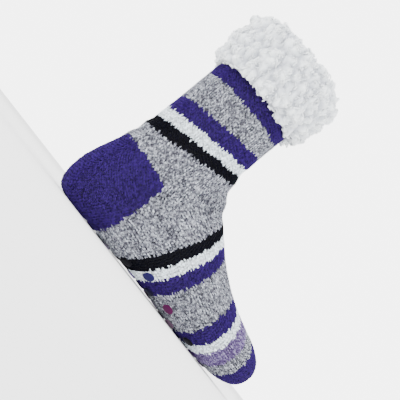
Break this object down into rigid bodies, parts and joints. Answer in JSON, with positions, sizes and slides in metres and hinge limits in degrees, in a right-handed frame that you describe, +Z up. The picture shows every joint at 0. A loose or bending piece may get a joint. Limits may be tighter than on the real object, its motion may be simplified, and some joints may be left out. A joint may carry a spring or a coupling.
{
  "type": "slipper sock",
  "caption": "Thick knitted slipper sock, striped, with a turned-down fleece cuff and rubber grip dots under the sole, standing empty.",
  "frame": {"origin": "middle of the underside of the box round the whole sock, on the floor it stands on", "axes": "+X from heel to toe, +Y to the wearer's left, +Z up the leg"},
  "size_m": [0.2552, 0.1088, 0.2288],
  "materials": {
    "knit": "fuzzy chenille-like knit in grey marl, black, white, lilac and purple stripes",
    "fleece": "white sherpa fleece in curly clumps",
    "grip": "translucent tinted silicone, semi-gloss"
  },
  "bodies": {
    "root": {"knit_sock": "knit", "sherpa_cuff": "fleece", "grip_dot_01": "grip", "grip_dot_02": "grip", "grip_dot_03": "grip", "grip_dot_04": "grip", "grip_dot_05": "grip", "grip_dot_06": "grip", "grip_dot_07": "grip", "grip_dot_08": "grip", "grip_dot_09": "grip", "grip_dot_10": "grip", "grip_dot_11": "grip", "grip_dot_12": "grip", "grip_dot_13": "grip", "grip_dot_14": "grip", "grip_dot_15": "grip", "grip_dot_16": "grip", "grip_dot_17": "grip", "grip_dot_18": "grip", "grip_dot_19": "grip", "grip_dot_20": "grip", "grip_dot_21": "grip", "grip_dot_22": "grip", "grip_dot_23": "grip", "grip_dot_24": "grip", "grip_dot_25": "grip", "grip_dot_26": "grip", "grip_dot_27": "grip", "grip_dot_28": "grip", "grip_dot_29": "grip"}
  },
  "joints": []
}
